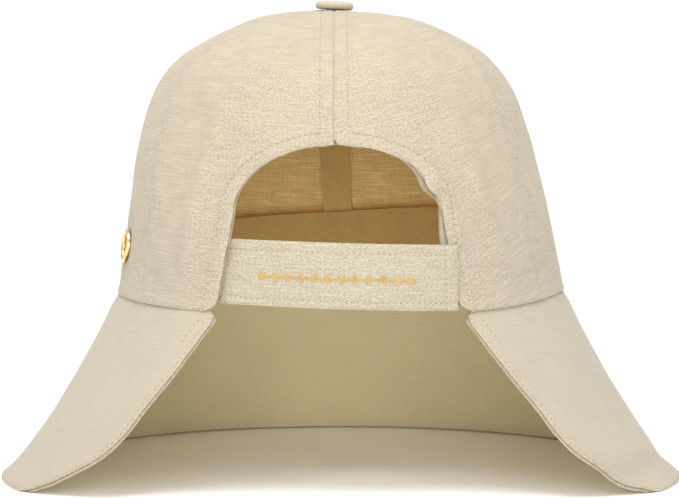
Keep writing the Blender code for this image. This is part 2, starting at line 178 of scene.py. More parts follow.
def brim_point(along, down):
    """Along runs from -1 to 1 between the brim's two ends, down from 0 at the crown to 1 at the hem."""
    along, down = np.broadcast_arrays(np.asarray(along, float), np.asarray(down, float))
    drop, reach, wrap = np.moveaxis(read_table(BRIM_SECTIONS, down * HEM_SHARE), -1, 0)
    azimuth = along * wrap * BRIM_END
    angle = np.radians(azimuth)
    at_crown = crown_point(azimuth, 0)
    hem_depth = np.where(np.cos(angle) > 0, HEM_FRONT_DEPTH, HEM_BACK_DEPTH)
    at_hem = np.stack((
        HEM_HALF_WIDTH * np.sin(angle),
        CENTRE_Y - hem_depth * np.cos(angle),
        np.zeros_like(angle),
    ), -1)
    point = at_crown + (at_hem - at_crown) * reach[..., None]
    point[..., 2] = brim_line(azimuth) * (1 - drop)
    return point


def facing(surface, first, second, step_first, step_second):
    """The outward direction of a surface at each of its points."""
    across = surface(first + step_first, second) - surface(first - step_first, second)
    upward = surface(first, second + step_second) - surface(first, second - step_second)
    normal = np.cross(across, upward)
    return normal / np.linalg.norm(normal, axis=-1, keepdims=True)


def crown_facing(azimuth, rise):
    return facing(crown_point, azimuth, np.clip(rise, 0.01, 0.985), 0.5, 0.01)


def brim_facing(along, down):
    return -facing(brim_point, along, np.clip(down, 0.01, 0.99), 0.005, 0.01)


SHARES = np.linspace(0, 1, 1001)
CROWN_HEIGHTS = np.maximum.accumulate(read_table(CROWN_SECTIONS, SHARES)[:, 0])
CROWN_LENGTHS = np.concatenate((
    [0], np.cumsum(np.linalg.norm(np.diff(crown_point(90.0, SHARES), axis=0), axis=1))
))
HEM_SHARE = float(np.interp(1.0, read_table(BRIM_SECTIONS, SHARES)[:, 0], SHARES))


def rise_at(height_share):
    return np.interp(height_share, CROWN_HEIGHTS, SHARES)


def crown_place(x, z):
    """Azimuth and rise of the point of the crown's back at this x and height."""
    azimuth = np.full(np.shape(x), 180.0)
    for _ in range(8):
        foot = brim_line(azimuth)
        share = (z - foot) / (CROWN_TOP - foot)
        rise = rise_at(share)
        half_width = crown_point(90.0, rise)[..., 0] - lean(share)
        azimuth = 180 - np.degrees(np.arcsin(np.clip((x - lean(share)) / half_width, -1, 1)))
    return azimuth, rise


def back_layer(x, z, outward):
    """The point of a layer over the crown's back at this x and height; negative is inside."""
    azimuth, rise = crown_place(x, z)
    point = crown_point(azimuth, rise) + crown_facing(azimuth, rise) * np.asarray(outward)[..., None]
    point[..., 2] = z
    return point


print("hem at share", round(HEM_SHARE, 3), "gore length", round(CROWN_LENGTHS[-1], 3))

# %% [markdown]
# ## The opening's outline
#
# The opening is an arch with short flared feet. Its edge was turned in and stitched, and at the right
# corner the soft turning sags a few millimetres into the opening. The sag is a bump added to the plain
# outline, so that the row of stitches can still follow the plain one.

# %% The outline of the arch
SAG = 3.0 * MM
SAG_SHARE = 0.722
SAG_WIDTH = 0.036
STRAIGHT_SHARE = 0.4


def arch_outline(share, away=0.0, sag=0.0):
    """A point (x, z): share 0 is the foot at +X, 0.5 the top and 1 the foot at -X."""
    share = np.asarray(share, float)
    side = np.where(share < 0.5, 1.0, -1.0)
    from_foot = 2 * np.minimum(share, 1 - share)
    up = np.clip(from_foot / STRAIGHT_SHARE, 0, 1)
    angle = np.pi / 2 * np.clip((from_foot - STRAIGHT_SHARE) / (1 - STRAIGHT_SHARE), 0, 1)
    flare = (1 - up) * (ARCH_FOOT_HALF_WIDTH - ARCH_HALF_WIDTH)
    x = ARCH_SHIFT + side * (ARCH_HALF_WIDTH * np.cos(angle) + flare)
    z = FOOT_BACK + up * (ARCH_SPRING - FOOT_BACK) + (ARCH_TOP - ARCH_SPRING) * np.sin(angle)
    outward_x = side * np.cos(angle)
    outward_z = np.sin(angle)
    move = away - sag * hump(share - SAG_SHARE, SAG_WIDTH)
    return x + move * outward_x, z + move * outward_z


EDGE_SHARES = np.linspace(0, 1, 161)
EDGE_X, EDGE_Z = arch_outline(EDGE_SHARES)
EDGE_POINTS = back_layer(EDGE_X, EDGE_Z, np.zeros(len(EDGE_X)))


def from_edge(points):
    """Distance of each point from the plain outline of the opening, and the outline's share there."""
    flat = points.reshape(-1, 3)
    distance = np.full(len(flat), 1.0)
    share = np.zeros(len(flat))
    near = (flat[:, 1] > CENTRE_Y) & (flat[:, 2] < ARCH_TOP + 20 * MM)
    gaps = np.linalg.norm(flat[near][:, None, :] - EDGE_POINTS[None], axis=2)
    if len(gaps):
        distance[near] = gaps.min(axis=1)
        share[near] = EDGE_SHARES[gaps.argmin(axis=1)]
    return distance.reshape(points.shape[:-1]), share.reshape(points.shape[:-1])


print("arch edge length", round(np.linalg.norm(np.diff(EDGE_POINTS, axis=0), axis=1).sum() * 1000), "mm")

# %% [markdown]
# ## How the cloth stands off the plain dome
#
# Sewing leaves its mark. At a seam the two gores dive in, the turned allowances under them lift the cloth
# for six millimetres on both sides, the rows of stitches press a groove and pucker the linen, and between
# the seams the dry linen buckles a little. All of it is one function of azimuth and rise, so that the cloth
# and the stitches that lie on it agree.

# %% Relief of the sewn crown
SEAM_STEP = 60.0
SEAM_STITCH = 5.4 * MM
ARCH_STITCH = 4.8 * MM
RIDGE_HEIGHTS = (0.12, 0.34, 0.60, 0.90)
LEFT_RIDGE = (136.6, 138.7, 144.5, 150.0)
RIGHT_RIDGE = (131.4, 137.2, 141.0, 148.0)


def waves(points, size, seed):
    """Smooth noise from -1 to 1 with bumps about as large as the size."""
    flat = points.reshape(-1, 3) / size + seed
    values = np.array([noise.noise(Vector(place)) for place in flat])
    return values.reshape(points.shape[:-1])


def per_degree(azimuth, rise):
    """Width of the crown that one degree of azimuth takes."""
    step = crown_point(azimuth + 0.5, rise) - crown_point(azimuth - 0.5, rise)
    return np.linalg.norm(step, axis=-1)


def ridge_line(azimuth, height):
    """Where the stiffened cloth round the opening ends, in degrees from the front on either side."""
    left = np.interp(height, RIDGE_HEIGHTS, LEFT_RIDGE)
    right = np.interp(height, RIDGE_HEIGHTS, RIGHT_RIDGE)
    return np.where(azimuth > 0, left, right)


def crown_relief(azimuth, rise):
    azimuth, rise = np.broadcast_arrays(np.asarray(azimuth, float), np.asarray(rise, float))
    at = crown_point(azimuth, rise)
    height = (at[..., 2] - BRIM_LINE) / (CROWN_TOP - BRIM_LINE)
    seam = np.round(azimuth / SEAM_STEP) * SEAM_STEP
    from_seam = np.abs(azimuth - seam) * per_degree(azimuth, rise)
    from_foot = np.interp(rise, SHARES, CROWN_LENGTHS)
    edge, share = from_edge(at)
    open_sky = ease((edge - 3 * MM) / (9 * MM))

    relief = 0.75 * MM * waves(at, 34 * MM, 3.1) + 0.28 * MM * waves(at, 12 * MM, 8.4)
    relief = relief * ease(from_foot / (12 * MM))
    pull = np.where(np.abs(seam) == 120, 0.45, 1.0)
    dive = pull * (1 - 0.85 * hump(edge, 9 * MM))
    relief = relief - 0.4 * MM * dive * hump(from_seam, 0.7 * MM)
    relief = relief + 0.45 * MM * pull * (1 - ease((from_seam - 5.6 * MM) / (2.5 * MM)))
    relief = relief - 0.24 * MM * pull * hump(from_seam - SEAM_STITCH, 0.6 * MM)
    pucker = waves(at * np.array((0.4, 0.4, 1.0)), 5 * MM, 1.7)
    relief = relief + 0.22 * MM * pucker * hump(from_seam - 4 * MM, 4 * MM)

    band = 1 - ease((edge - 6.0 * MM) / (1.8 * MM))
    relief = relief + 0.5 * MM * band - 0.5 * MM * hump(edge, 0.8 * MM)
    relief = relief - 0.25 * MM * hump(edge - ARCH_STITCH, 0.6 * MM)
    relief = relief + 0.25 * MM * band * waves(at, 4.5 * MM, 5.2)
    relief = relief + 1.1 * MM * hump(edge, 4 * MM) * hump(share - SAG_SHARE, SAG_WIDTH)

    from_ridge = (np.abs(azimuth) - ridge_line(azimuth, height)) * per_degree(azimuth, rise)
    tall = ease((height - 0.05) / 0.15) * ease((0.75 - height) / 0.2)
    crease = np.where(azimuth > 0, 1.3 * MM, 0.8 * MM) * tall * open_sky
    relief = relief + crease * (hump(from_ridge, 4 * MM) - 0.5 * hump(from_ridge + 9 * MM, 6 * MM))
    relief = relief + 0.35 * MM * hump(from_foot - 1.2 * MM, 1.6 * MM)
    return relief


def crown_cloth(azimuth, rise, outward=0.0):
    """A point on the sewn cloth, or at a distance outside it."""
    stand = crown_relief(azimuth, rise) + outward
    return crown_point(azimuth, rise) + crown_facing(azimuth, rise) * stand[..., None]


# %% [markdown]
# ## Finishes
#
# Linen is a plain weave of uneven yarn: thick slubs show as short streaks along the weft and the warp.
# Each streak is noise stretched along the cloth's own grain, which a UV map named grain keeps in metres.
# A small class wraps a socket, so that shader maths reads as ordinary Python.

# %% A wrapped socket for shader maths
class Wire:
    """A socket of a material's nodes; Python's operators add Math nodes to it."""

    def __init__(self, tree, socket):
        self.tree = tree
        self.socket = socket

    def node(self, kind, settings=None, inputs=None, output=0):
        """Adds any node: its settings first, then its sockets' values or links."""
        made = self.tree.nodes.new(kind)
        for name, value in (settings or {}).items():
            setattr(made, name, value)
        for name, value in (inputs or {}).items():
            if isinstance(value, Wire):
                self.tree.links.new(value.socket, made.inputs[name])
            else:
                made.inputs[name].default_value = value
        return Wire(self.tree, made.outputs[output] if made.outputs else None)

    def math(self, operation, left, right):
        return self.node("ShaderNodeMath", {"operation": operation}, {0: left, 1: right})

    def __add__(self, other):
        return self.math("ADD", self, other)

    def __radd__(self, other):
        return self.math("ADD", other, self)

    def __sub__(self, other):
        return self.math("SUBTRACT", self, other)

    def __mul__(self, other):
        return self.math("MULTIPLY", self, other)


def new_material(name):
    """An empty node material: the material, and a wire to start its nodes from."""
    made = bpy.data.materials.new(name)
    made.use_nodes = True
    made.node_tree.nodes.clear()
    coordinates = made.node_tree.nodes.new("ShaderNodeTexCoord")
    return made, Wire(made.node_tree, coordinates.outputs["Object"])


def noise_along(wire, vector, size, detail=2.0):
    """Noise from 0 to 1 with grains as large as the size, a length for each direction."""
    scale = tuple(1 / length for length in size)
    placed = wire.node("ShaderNodeMapping", None, {"Vector": vector, "Scale": scale})
    return wire.node("ShaderNodeTexNoise", None, {"Vector": placed, "Scale": 1.0, "Detail": detail})


def mix(wire, share, first, second, blend="MIX"):
    """A colour on the way from the first to the second; each is a wire or three numbers."""
    ends = {
        socket: end if isinstance(end, Wire) else (*end, 1) for socket, end in ((6, first), (7, second))
    }
    settings = {"data_type": "RGBA", "blend_type": blend}
    return wire.node("ShaderNodeMix", settings, {"Factor": share, **ends}, output=2)


def shades(wire, share, colour, down, up):
    """A colour that gets darker and lighter with the share, by the two given parts of itself."""
    dark = tuple(value * (1 - down) for value in colour)
    light = tuple(min(value * (1 + up), 1) for value in colour)
    return mix(wire, share, dark, light)


def attribute(wire, name):
    """A number that each vertex of the cloth carries, 0 where there is none."""
    return wire.node("ShaderNodeAttribute", {"attribute_name": name}, output=2)


def map_range(wire, value, start, end):
    return wire.node("ShaderNodeMapRange", None, {"Value": value, "From Min": start, "From Max": end})


def bumped(wire, strength, distance, height):
    return wire.node("ShaderNodeBump", None, {"Strength": strength, "Distance": distance, "Height": height})


def cloth_body(wire, colour, roughness, bump, sheen=0.0):
    return wire.node("ShaderNodeBsdfPrincipled", None, {
        "Base Color": colour,
        "Roughness": roughness,
        "Specular IOR Level": 0.25,
        "Sheen Weight": sheen,
        "Normal": bump,
    })


def show(made, wire, shader):
    """Links the shader to the material's output and returns the material."""
    wire.node("ShaderNodeOutputMaterial", None, {"Surface": shader})
    return made


# %% [markdown]
# ### Linen
#
# The streaks darken and lighten the base colour by up to a sixth and give the surface a fine bump.
# Thin cloth lets light through, which warms the inside of the crown, so a little of the shader is
# translucent. That light is also painted into the inner side's colour, which is warmer and lighter than
# the outside, and just above the sweatband a painted shade darkens it. Round the opening the cloth is
# stiffened, and there a vertex attribute named dense adds a fine crumb to the weave.

# %% Linen, twill, tape, thread and brass
WEFT = (16 * MM, 0.75 * MM, 1)
WARP = (0.7 * MM, 11 * MM, 1)
YARN = (0.9 * MM, 0.8 * MM, 1)
PATCH = (7 * MM, 3.5 * MM, 1)
CRUMB = (0.85 * MM, 0.8 * MM, 1)
CLOUD = (28 * MM,) * 3
GLOW = (0.85, 0.60, 0.30)
# Painted shade: a darker, warmer band on the inner side of the crown just above the sweatband.
BAND_SHADE = (0.78, 0.60, 0.45)
BAND_SHADE_HEIGHT = 5 * MM
BAND_SHADE_BLOT = 7 * MM


def lit_through_side(at, tone, outer, colour, shade_above_band):
    """The inner side, painted with light coming through the cloth; on the crown, painted shade just above
    the sweatband.
    """
    facing_in = map_range(at, attribute(at, "inner"), 0.75, 1.0)
    contrast = 0.28 if shade_above_band else 0.12
    # Painted light: the inner side's colour stands in for the light that comes through the cloth.
    inside = shades(at, tone, colour, contrast, contrast)
    # Painted shade, strongest at the sweatband's top edge and fading upward, with a noisy edge.
    if shade_above_band:
        x = at.node("ShaderNodeSeparateXYZ", None, {"Vector": at}, output=0)
        z = at.node("ShaderNodeSeparateXYZ", None, {"Vector": at}, output=2)
        band_shade_edge = noise_along(at, at, (BAND_SHADE_BLOT,) * 3, 3.0)
        above = z + x * BAND_SLOPE + (band_shade_edge - 0.5) * 6 * MM
        near = map_range(at, above, SWEATBAND_TOP + BAND_SHADE_HEIGHT, SWEATBAND_TOP)
        inside = mix(at, near, inside, BAND_SHADE, "MULTIPLY")
    return mix(at, facing_in, outer, inside)


def linen(name, colour, slub=1.0, glow=0.2, inside=None, shade_above_band=False):
    """Linen with so much slub; it glows by so much of the light from behind, and inside may be painted with
    lit-through colour.
    """
    made, at = new_material(name)
    grain = at.node("ShaderNodeUVMap", {"uv_map": "grain"})
    weft = noise_along(at, grain, WEFT, 3.0)
    warp = noise_along(at, grain, WARP, 3.0)
    yarn = noise_along(at, grain, YARN, 1.0)
    cloud = noise_along(at, at, CLOUD, 3.0)
    thick = map_range(at, weft, 0.56, 0.78)
    patch = noise_along(at, grain, PATCH, 2.0)
    crumb = noise_along(at, grain, CRUMB, 2.0)
    dense = attribute(at, "dense")
    streak = (weft - 0.5) * 1.5 + (warp - 0.5) * 0.8 + (yarn - 0.5) * 0.8 + thick * 0.5
    speckle = (crumb - 0.5) * dense * 4.6
    tone = 0.45 + streak * slub + speckle + (patch - 0.5) * 0.7 * slub + (cloud - 0.5) * 0.4
    shown = shades(at, tone, colour, 0.16, 0.15)
    if inside:
        shown = lit_through_side(at, tone, shown, inside, shade_above_band)
    relief = weft * 1.1 + warp * 0.7 + yarn * 0.9 + thick * 1.2 + crumb * dense * 2.4
    bump = bumped(at, 0.5 * min(slub + 0.3, 1.0), 0.3 * MM, relief)
    body = cloth_body(at, shown, 0.88, bump, sheen=0.12)
    through = at.node("ShaderNodeBsdfTranslucent", None, {"Color": (*GLOW, 1)})
    return show(made, at, at.node("ShaderNodeMixShader", None, {0: glow, 1: body, 2: through}))


def plain_cloth(name, colour, grain=1.2 * MM, contrast=0.25, roughness=0.9):
    """Twill, tape and thread: a mottled colour with a fine bump."""
    made, at = new_material(name)
    fine = noise_along(at, at, (grain,) * 3)
    cloud = noise_along(at, at, (8 * grain,) * 3)
    tone = 0.5 + (fine - 0.5) * 1.4 + (cloud - 0.5) * 0.8
    bump = bumped(at, 0.4, 0.15 * MM, fine)
    return show(made, at, cloth_body(at, shades(at, tone, colour, contrast, contrast), roughness, bump))


def brass(name):
    made, at = new_material(name)
    wear = noise_along(at, at, (0.9 * MM,) * 3)
    return show(made, at, at.node("ShaderNodeBsdfPrincipled", None, {
        "Base Color": mix(at, wear, (0.52, 0.37, 0.13), (0.74, 0.57, 0.27)),
        "Metallic": 1.0,
        "Roughness": 0.14 + wear * 0.1,
    }))


# Painted light: the inside colours, warmer and lighter than the outside, paint the light that comes through
# the cloth into the crown and under the brim.
CROWN_LINEN = linen("crown_linen", (0.372, 0.332, 0.255), inside=(0.80, 0.60, 0.28), shade_above_band=True)
BRIM_LINEN = linen("brim_linen", (0.362, 0.318, 0.245), slub=0.4, glow=0.15)
UNDER_LINEN = linen("brim_under_linen", (0.362, 0.318, 0.245), slub=0.35, inside=(0.96, 0.83, 0.53))
STRAP_LINEN = linen("strap_linen", (0.325, 0.288, 0.213), slub=0.9, glow=0.05)
BUTTON_LINEN = linen("button_linen", (0.40, 0.345, 0.26), slub=0.3, glow=0.05)
SWEATBAND_TWILL = plain_cloth("sweatband_twill", (0.47, 0.325, 0.12), contrast=0.12)
TAPE = plain_cloth("seam_tape", (0.54, 0.37, 0.14), contrast=0.12)
HOOK_TAPE = plain_cloth("hook_tape", (0.45, 0.38, 0.27))
THREAD = plain_cloth("sewing_thread", (0.38, 0.33, 0.24), grain=0.5 * MM)
# Painted shade: a dark colour for the copies that fill the needle holes, where there is only shade.
HOLE_SHADE = plain_cloth("needle_hole_shade", (0.14, 0.10, 0.06), grain=0.5 * MM)
GOLD_THREAD = plain_cloth("gold_thread", (0.40, 0.265, 0.085), grain=0.5 * MM, roughness=0.45)
BRASS = brass("brass")
print(len(bpy.data.materials), "finishes")

# %% [markdown]
# ## Cloth from a grid
#
# A sheet of cloth starts as Blender's grid primitive. Its flat vertices are then laid on a surface by
# a function, which also gives each vertex its place on the cloth's grain. Solidify makes the wall, and
# it is applied so that the mesh is final. The grid is finer at its two sides, where the seams are.

# %% Lay a grid as cloth
def gather(share, amount=0.55):
    """Moves evenly spaced shares closer together at both ends."""
    return share - amount * np.sin(2 * np.pi * share) / (2 * np.pi)


def rounding(distance, radius):
    """How far a rounded corner is cut back, at a distance from its end."""
    short = np.clip(radius - distance, 0, radius)
    return radius - np.sqrt(radius ** 2 - short ** 2)


def deselect():
    bpy.ops.object.select_all(action="DESELECT")


def choose(piece):
    """Makes the piece the only selected object and the active one."""
    deselect()
    piece.select_set(True)
    bpy.context.view_layer.objects.active = piece


def new_piece(name, points, edges, faces):
    """A new object from plain lists, chosen for the next operator."""
    mesh = bpy.data.meshes.new(name)
    mesh.from_pydata(points, edges, faces)
    piece = bpy.data.objects.new(name, mesh)
    bpy.context.scene.collection.objects.link(piece)
    choose(piece)
    return piece


def face_outward(edit=None):
    """In edit mode, does the edit on the whole of the chosen mesh and turns its normals outward."""
    bpy.ops.object.mode_set(mode="EDIT")
    bpy.ops.mesh.select_all(action="SELECT")
    if edit:
        edit()
    bpy.ops.mesh.normals_make_consistent(inside=False)
    bpy.ops.object.mode_set(mode="OBJECT")


def add_grid(name, cells):
    """A grid primitive and the place of each of its vertices, from 0 to 1 both ways."""
    deselect()
    bpy.ops.mesh.primitive_grid_add(x_subdivisions=cells[0], y_subdivisions=cells[1], size=1)
    made = bpy.context.object
    made.name = name
    made.data.name = name
    flat = np.empty(len(made.data.vertices) * 3, np.float32)
    made.data.vertices.foreach_get("co", flat)
    shares = flat.reshape(-1, 3).astype(float) + 0.5
    return made, shares[:, 0], shares[:, 1]


def lay(piece, points, grain, dense=None):
    """Moves a grid's vertices to their points and writes the grain, and where the cloth is stiffened."""
    mesh = piece.data
    if dense is not None:
        mesh.attributes.new("dense", "FLOAT", "POINT").data.foreach_set("value", dense.astype(np.float32))
    mesh.vertices.foreach_set("co", points.astype(np.float32).ravel())
    while mesh.uv_layers:
        mesh.uv_layers.remove(mesh.uv_layers[0])
    layer = mesh.uv_layers.new(name="grain")
    corners = np.empty(len(mesh.loops), np.int32)
    mesh.loops.foreach_get("vertex_index", corners)
    layer.uv.foreach_set("vector", grain[corners].astype(np.float32).ravel())
    mesh.update()


def apply_all(piece):
    choose(piece)
    for modifier in list(piece.modifiers):
        bpy.ops.object.modifier_apply(modifier=modifier.name)


def make_wall(piece, wall, softening=0.0):
    """Gives a sheet its thickness on the inner side, and rounds its edges where that is asked."""
    outer = len(piece.data.vertices)
    cloth = piece.modifiers.new("wall", "SOLIDIFY")
    cloth.thickness = wall
    cloth.offset = -1
    if softening:
        edge = piece.modifiers.new("edge", "BEVEL")
        edge.width = softening
        edge.segments = 3
        edge.limit_method = "ANGLE"
        edge.angle_limit = math.radians(50)
    apply_all(piece)
    if not softening:
        inner = np.zeros(len(piece.data.vertices), np.float32)
        inner[outer:] = 1
        piece.data.attributes.new("inner", "FLOAT", "POINT").data.foreach_set("value", inner)


def finish(piece, material, slot, *nodes):
    """Shades a piece, gives it its finish and hangs it on the model."""
    choose(piece)
    bpy.ops.object.shade_smooth_by_angle(angle=math.radians(50))
    piece.data.materials.clear()
    piece.data.materials.append(material)
    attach(piece, "root")
    if nodes:
        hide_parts(*nodes)
    triangles = sum(len(face.vertices) - 2 for face in piece.data.polygons)
    print(piece.name, triangles, "triangles")
    return piece


def turned(grain, degrees):
    """The grain turned on the cloth, as on a gore that was cut or stretched off the straight."""
    angle = math.radians(degrees)
    return np.stack((
        grain[:, 0] * math.cos(angle) - grain[:, 1] * math.sin(angle),
        grain[:, 0] * math.sin(angle) + grain[:, 1] * math.cos(angle),
    ), -1)


# %% [markdown]
# ## Front and side gores
#
# Each gore is one grid between two seams. Its grain runs up its middle line, as a tailor would cut it.

# %% Four whole gores
GORE_CELLS = (84, 96)
SEAM_GAP = 0.1 * MM


def crown_grain(azimuth, rise, middle, turn):
    across = (azimuth - middle) * per_degree(azimuth, rise)
    up = np.interp(rise, SHARES, CROWN_LENGTHS)
    return turned(np.stack((across, up), -1), turn)


def add_gore(name, start, end, turn):
    piece, across, up = add_grid(name, GORE_CELLS)
    rise = gather(up, 0.3)
    inset = SEAM_GAP / 2 / per_degree(np.full_like(rise, start), rise)
    azimuth = start + inset + gather(across) * (end - start - 2 * inset)
    lay(piece, crown_cloth(azimuth, rise), crown_grain(azimuth, rise, (start + end) / 2, turn))
    make_wall(piece, LINEN)
    return finish(piece, CROWN_LINEN, "crown_linen", name)


add_gore("panel_front_right", -60.0, 0.0, 2.0)
add_gore("panel_front_left", 0.0, 60.0, -3.0)
side_left = add_gore("panel_side_left", 60.0, 120.0, -4.0)
add_gore("panel_side_right", -120.0, -60.0, 4.0)

# %% [markdown]
# ## Back gores with the arch
#
# The two back gores end at the opening. A cut through a fine grid would leave a ragged edge, so the
# grid is laid between two lines instead. One is the outer seam. The other runs up the edge of the
# opening and then up the centre seam.

# %% Two back gores
BACK_CELLS = (84, 132)
ARCH_SHARE_OF_GRID = 0.62
PANEL_CORNER = 5 * MM


def back_place(side, across, up):
    """Azimuth and rise in a back gore: across is 0 at its outer seam and 1 at the opening."""
    up = gather(up, 0.12)
    on_arch = np.clip(up / ARCH_SHARE_OF_GRID, 0, 1) / 2
    share = on_arch if side > 0 else 1 - on_arch
    x, z = arch_outline(share, sag=SAG)
    azimuth, rise = crown_place(x, z)
    top_rise = rise_at((ARCH_TOP - FOOT_BACK) / (CROWN_TOP - FOOT_BACK))
    above = np.clip((up - ARCH_SHARE_OF_GRID) / (1 - ARCH_SHARE_OF_GRID), 0, 1)
    inset = SEAM_GAP / 2 / per_degree(np.full_like(rise, 180.0), rise)
    azimuth = np.where(above > 0, 180.0, azimuth)
    azimuth = np.where(side > 0, np.minimum(azimuth, 180 - inset), azimuth - 360)
    azimuth = np.where(side > 0, azimuth, np.maximum(azimuth, -180 + inset))
    rise = np.where(above > 0, top_rise + above * (1 - top_rise), rise)
    outer_rise = np.interp(up, (0, 0.22, ARCH_SHARE_OF_GRID, 1), (0, 0.27, 0.70, 1))
    outer = side * 120.0 + side * SEAM_GAP / 2 / per_degree(np.full_like(rise, side * 120.0), outer_rise)
    cut = rounding(np.interp(rise, SHARES, CROWN_LENGTHS), PANEL_CORNER)
    width = np.abs(azimuth - outer) * per_degree(azimuth, rise)
    place = gather(across) * np.where(cut > 0, 1 - cut / np.maximum(width, MM), 1.0)
    return outer + place * (azimuth - outer), outer_rise + place * (rise - outer_rise)


def add_back_gore(name, side, turn):
    piece, first, up = add_grid(name, BACK_CELLS)
    across = first if side > 0 else 1 - first
    azimuth, rise = back_place(side, across, up)
    height = np.interp(rise, SHARES, CROWN_HEIGHTS)
    dense = ease((np.abs(azimuth) - ridge_line(azimuth, height) + 2) / 4) * ease((0.95 - height) / 0.25)
    lay(piece, crown_cloth(azimuth, rise), crown_grain(azimuth, rise, side * 150.0, turn), dense)
    make_wall(piece, LINEN)
    return finish(piece, CROWN_LINEN, "crown_linen", name)


add_back_gore("panel_back_left", 1, 3.0)
add_back_gore("panel_back_right", -1, -14.0)

# %% [markdown]
# ## The brim
#
# The brim is two layers of pressed linen, sewn face to face, turned and stitched round the edge. They
# are two sheets here. Towards the edge the upper one curls in and the under one comes up to meet it.

# %% Two layers of the brim
BRIM_CELLS = (330, 84)
BRIM_LAYER = 1.1 * MM
BRIM_EDGE_STITCH = 1.7 * MM
BRIM_TUCK = 0.8 * MM
BRIM_LIFT = 0.9 * MM
TIP_ROUNDING = 3.5 * MM
CORNER_ROUNDING = 7 * MM
RIGHT_NECK = 2.2 * MM


def brim_lengths(down):
    """Length of the brim's surface along its run, from its middle to one end, at each level."""
    line = brim_point(np.linspace(0, 1, 181)[:, None], down[None, :])
    return np.linalg.norm(np.diff(line, axis=0), axis=2).sum(axis=0)


LEVELS = np.linspace(0, 1, 41)
BRIM_HALF_LENGTHS = brim_lengths(LEVELS)
BRIM_DEPTHS = np.concatenate((
    [0], np.cumsum(np.linalg.norm(np.diff(brim_point(0.0, LEVELS), axis=0), axis=1))
))


def brim_edges(along, down):
    """Distance from the nearest end and from the hem, and the distance down from the crown."""
    half = np.interp(down, LEVELS, BRIM_HALF_LENGTHS)
    depth = np.interp(down, LEVELS, BRIM_DEPTHS)
    return (1 - np.abs(along)) * half, BRIM_DEPTHS[-1] - depth, depth


def brim_relief(along, down):
    at = brim_point(along, down)
    end, hem, depth = brim_edges(along, down)
    edge = np.minimum(end, hem)
    relief = 0.7 * MM * waves(at, 60 * MM, 2.2) + 0.22 * MM * waves(at, 16 * MM, 6.1)
    relief = relief - 0.55 * MM * hump(edge, 0.8 * MM) - 0.3 * MM * hump(edge - BRIM_EDGE_STITCH, 0.6 * MM)
    relief = relief + 0.15 * MM * waves(at, 5 * MM, 4.4) * hump(edge - BRIM_EDGE_STITCH, 3 * MM)
    neck = hump(hem - 13 * MM, 7 * MM) * ease((np.abs(along) - 0.62) / 0.2)
    relief = relief - np.where(along < 0, RIGHT_NECK, 0.0) * neck
    return relief - BRIM_TUCK * (1 - ease(depth / (6 * MM)))


def brim_cloth(along, down, outward=0.0):
    stand = brim_relief(along, down) + outward
    point = brim_point(along, down) + brim_facing(along, down) * stand[..., None]
    depth = np.interp(down, LEVELS, BRIM_DEPTHS)
    point[..., 2] = np.maximum(point[..., 2] + BRIM_LIFT * (1 - ease(depth / (4 * MM))), 0.4 * MM)
    return point


def round_tips(along, down):
    """Pulls the two ends in near the hem and near the crown, so that each corner is round."""
    half = np.interp(down, LEVELS, BRIM_HALF_LENGTHS)
    depth = np.interp(down, LEVELS, BRIM_DEPTHS)
    pull = rounding(BRIM_DEPTHS[-1] - depth, TIP_ROUNDING) + rounding(depth, CORNER_ROUNDING)
    return along * (1 - pull / half)


def spread_along(share):
    """Places along the brim, closer together near its two ends."""
    centred = 2 * share - 1
    inner = 1 - np.abs(centred)
    return np.sign(centred) * (1 - inner * (0.45 + 0.55 * inner))


def add_brim_layer(name, material, outward):
    piece, across, up = add_grid(name, BRIM_CELLS)
    down = gather(1 - up, 0.45)
    along = round_tips(spread_along(across), down)
    end, hem, depth = brim_edges(along, down)
    closing = hump(np.minimum(end, hem), 1.0 * MM)
    stand = outward * (1 - 0.35 * closing)
    grain = np.stack((along * np.interp(down, LEVELS, BRIM_HALF_LENGTHS), depth), -1)
    dense = 0.9 * (1 - ease((end - 2.4 * MM) / (1.6 * MM)))
    lay(piece, brim_cloth(along, down, stand), grain, dense)
    make_wall(piece, BRIM_LAYER)
    for vertex in piece.data.vertices:
        vertex.co.z = max(vertex.co.z, 0.1 * MM)
    return finish(piece, material, "brim_linen", "brim")


add_brim_layer("brim_upper", BRIM_LINEN, 0.0)
add_brim_layer("brim_under", UNDER_LINEN, -(BRIM_LAYER + 0.1 * MM))

# %% [markdown]
# ## Inside the crown
#
# A tan twill sweatband is folded round the foot of the crown. Each seam is covered by a cotton tape, and
# the edge of the opening by a facing strip.

# %% Sweatband, the seam tapes and the facing
TAPE_HALF_WIDTH = 6.4 * MM
TAPE_TOP = 0.985
BAND_END_X = ARCH_SHIFT + ARCH_FOOT_HALF_WIDTH + BINDING_WIDTH
BAND_END = 180 - math.degrees(math.asin(BAND_END_X / CROWN_HALF_WIDTH))
BAND_STAND = 1.4 * MM


def inner_point(azimuth, rise, inward):
    """A point inside the crown's plain surface."""
    return crown_point(azimuth, rise) - crown_facing(azimuth, rise) * np.asarray(inward)[..., None]


def band_place(azimuth, share, inward):
    foot = brim_line(azimuth)
    slope = BAND_SLOPE * CROWN_HALF_WIDTH * np.sin(np.radians(azimuth)) * np.cos(np.radians(azimuth / 2))
    rise = rise_at(share * (SWEATBAND_TOP - slope - foot) / (CROWN_TOP - foot))
    return inner_point(azimuth, rise, inward + INNER_FACE + BAND_STAND * ease(2 * share))


def add_sweatband():
    piece, across, up = add_grid("sweatband", (200, 22))
    azimuth = BAND_END * (2 * across - 1)
    at = band_place(azimuth, up, np.zeros_like(up))
    points = at + np.stack((waves(at, 20 * MM, 1.3),) * 3, -1) * 0.25 * MM
    grain = np.stack((np.radians(azimuth) * CROWN_HALF_WIDTH, up * (SWEATBAND_TOP - BRIM_LINE)), -1)
    lay(piece, points, grain)
    make_wall(piece, 1.1 * MM)
    return finish(piece, SWEATBAND_TWILL, "sweatband_twill", "sweatband")


